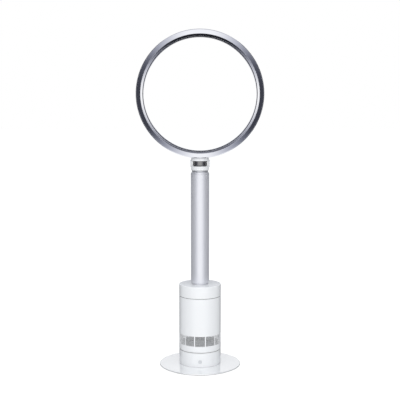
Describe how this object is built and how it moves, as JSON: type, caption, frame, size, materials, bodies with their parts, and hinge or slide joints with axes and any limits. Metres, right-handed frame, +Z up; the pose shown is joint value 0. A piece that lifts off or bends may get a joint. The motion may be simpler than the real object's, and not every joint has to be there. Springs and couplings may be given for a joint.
{
  "type": "bladeless fan",
  "caption": "Pedestal fan with a slim round air loop on a tilting neck and telescopic pole, above a cylindrical motor body that swings on a wide round base.",
  "frame": {"origin": "centre of the foot ring's underside, on the pole's axis, at floor level", "axes": "+Z up along the pole, -Y towards the front, where the power button is and the air leaves, +X to the right seen from the front"},
  "size_m": [0.4468, 0.288, 1.1904],
  "materials": {
    "white_gloss": "gloss moulded",
    "plate_white": "gloss enamel",
    "silver_tube": "satin anodised",
    "silver_loop": "metallised, bright",
    "button_grey": "satin moulded",
    "duct_grey": "satin moulded",
    "nylon": "satin moulded",
    "black_plastic": "satin moulded",
    "board_green": "solder mask",
    "foot_rubber": "matte",
    "bellows_rubber": "satin moulded",
    "foam": "open-cell foam",
    "steel": "bright zinc",
    "copper": "enamelled wire"
  },
  "bodies": {
    "base": {"foot_ring": "foot_rubber", "base_plate": "plate_white", "ballast_disc": "steel", "plate_screw_1": "steel", "plate_screw_2": "steel", "plate_screw_3": "steel", "lower_housing": "white_gloss", "control_board": "board_green", "push_switch": "black_plastic", "cord_gland": "foot_rubber", "drive_motor": "steel", "glide_ring": "nylon", "pivot_post": "duct_grey", "retaining_clip": "steel"},
    "button": {"power_button": "button_grey"},
    "pinion": {"drive_pinion": "nylon"},
    "motor_body": {"turntable": "duct_grey", "drive_sector": "nylon", "body_shell": "white_gloss", "body_cap": "white_gloss", "inlet_bellmouth": "duct_grey", "rubber_mount_1": "foot_rubber", "rubber_mount_2": "foot_rubber", "rubber_mount_3": "foot_rubber", "motor_bucket": "duct_grey", "silencer_foam": "foam", "motor_coils": "copper", "bearing_lower": "steel", "bearing_upper": "steel", "stator_housing": "duct_grey", "outlet_cone": "duct_grey", "inner_tube": "silver_tube", "guide_bush": "nylon"},
    "rotor": {"impeller": "duct_grey", "impeller_nut": "steel", "motor_shaft": "steel", "motor_rotor": "steel"},
    "mast": {"sleeve_bush": "nylon", "pole_sleeve": "silver_tube", "sleeve_cap": "silver_tube", "neck_seal": "bellows_rubber", "lower_yoke": "white_gloss", "pivot_pin_left": "steel", "pivot_pin_right": "steel", "friction_washer_left": "nylon", "friction_washer_right": "nylon", "tilt_bellows": "bellows_rubber"},
    "head": {"upper_yoke": "white_gloss", "pivot_cap_left": "white_gloss", "pivot_cap_right": "white_gloss", "loop_rear_shell": "silver_loop", "loop_inner_shell": "silver_loop", "loop_front_trim": "silver_loop", "loop_gasket": "foot_rubber"}
  },
  "joints": [
    {"name": "body_swing", "type": "hinge", "parent": "base", "child": "motor_body", "pos_m": [0, 0, 0.0619], "axis": [0, 0, 1], "range_deg": [-45, 45]},
    {"name": "pinion_spin", "type": "hinge", "parent": "base", "child": "pinion", "pos_m": [-0.04375, 0, 0.058], "axis": [0, 0, 1], "range_deg": [-182, 182]},
    {"name": "button_press", "type": "slide", "parent": "base", "child": "button", "axis": [0, 1, 0], "range_m": [0, 0.001], "stiffness_N_per_m": 600, "springref_m": -0.001},
    {"name": "impeller_spin", "type": "hinge", "parent": "motor_body", "child": "rotor", "pos_m": [0, 0, 0.15], "axis": [0, 0, 1], "continuous": true},
    {"name": "height_slide", "type": "slide", "parent": "motor_body", "child": "mast", "axis": [0, 0, 1], "range_m": [0, 0.22]},
    {"name": "head_tilt", "type": "hinge", "parent": "mast", "child": "head", "pos_m": [0, 0, 0.72505], "axis": [1, 0, 0], "range_deg": [-10, 10], "deforming": ["tilt_bellows"]}
  ],
  "couplings": [
    {"joint": "pinion_spin", "follows": "body_swing", "ratio": -4}
  ]
}
